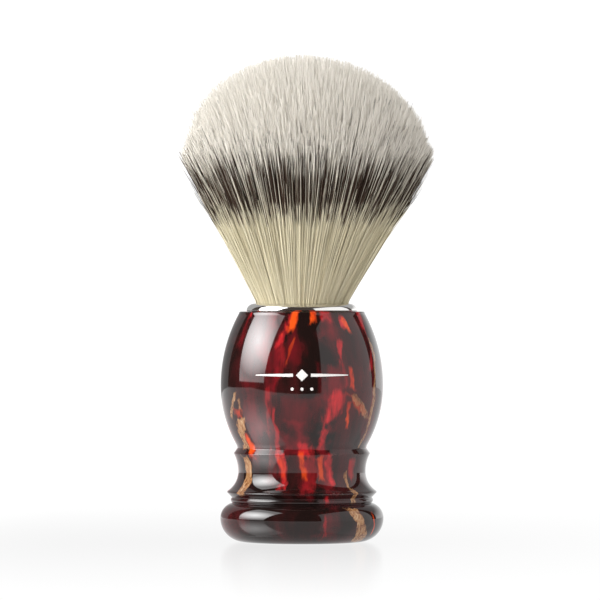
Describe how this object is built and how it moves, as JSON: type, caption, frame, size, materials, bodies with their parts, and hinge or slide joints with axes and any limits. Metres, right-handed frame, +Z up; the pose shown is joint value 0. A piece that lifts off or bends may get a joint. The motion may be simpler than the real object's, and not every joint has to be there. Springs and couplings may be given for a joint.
{
  "type": "shaving brush",
  "caption": "Free-standing shaving brush with a turned tortoiseshell-pattern resin handle, plated collar and fan-shaped banded fibre knot, for lathering soap.",
  "frame": {"origin": "centre of the handle's flat foot, on the surface that the brush stands on", "axes": "+Z up along the brush's axis, from the foot to the fibre tips; the side with the printed ornament faces -Y, and +X is to its right"},
  "size_m": [0.0552, 0.0552, 0.11],
  "materials": {
    "tortoise_resin": "gloss",
    "nickel_plate": "polished",
    "epoxy": "satin",
    "plug_resin": "satin",
    "thread": "matte",
    "bristle": "matte"
  },
  "bodies": {
    "handle": {"handle": "tortoise_resin", "collar": "nickel_plate", "socket_adhesive": "epoxy", "knot_plug": "plug_resin", "binding_thread": "thread", "bristle_root": "bristle"},
    "knot_middle": {"bristle_middle": "bristle"},
    "knot": {"bristle_fan": "bristle"}
  },
  "joints": [
    {"name": "flex_sideways", "type": "hinge", "parent": "handle", "child": "knot_middle", "pos_m": [0, 0, 0.054], "axis": [0, 1, 0], "range_deg": [-25, 25], "stiffness_Nm_per_rad": 0.15},
    {"name": "flex_fore_aft", "type": "hinge", "parent": "knot_middle", "child": "knot", "pos_m": [0, 0, 0.054], "axis": [1, 0, 0], "range_deg": [-25, 25], "stiffness_Nm_per_rad": 0.15}
  ]
}
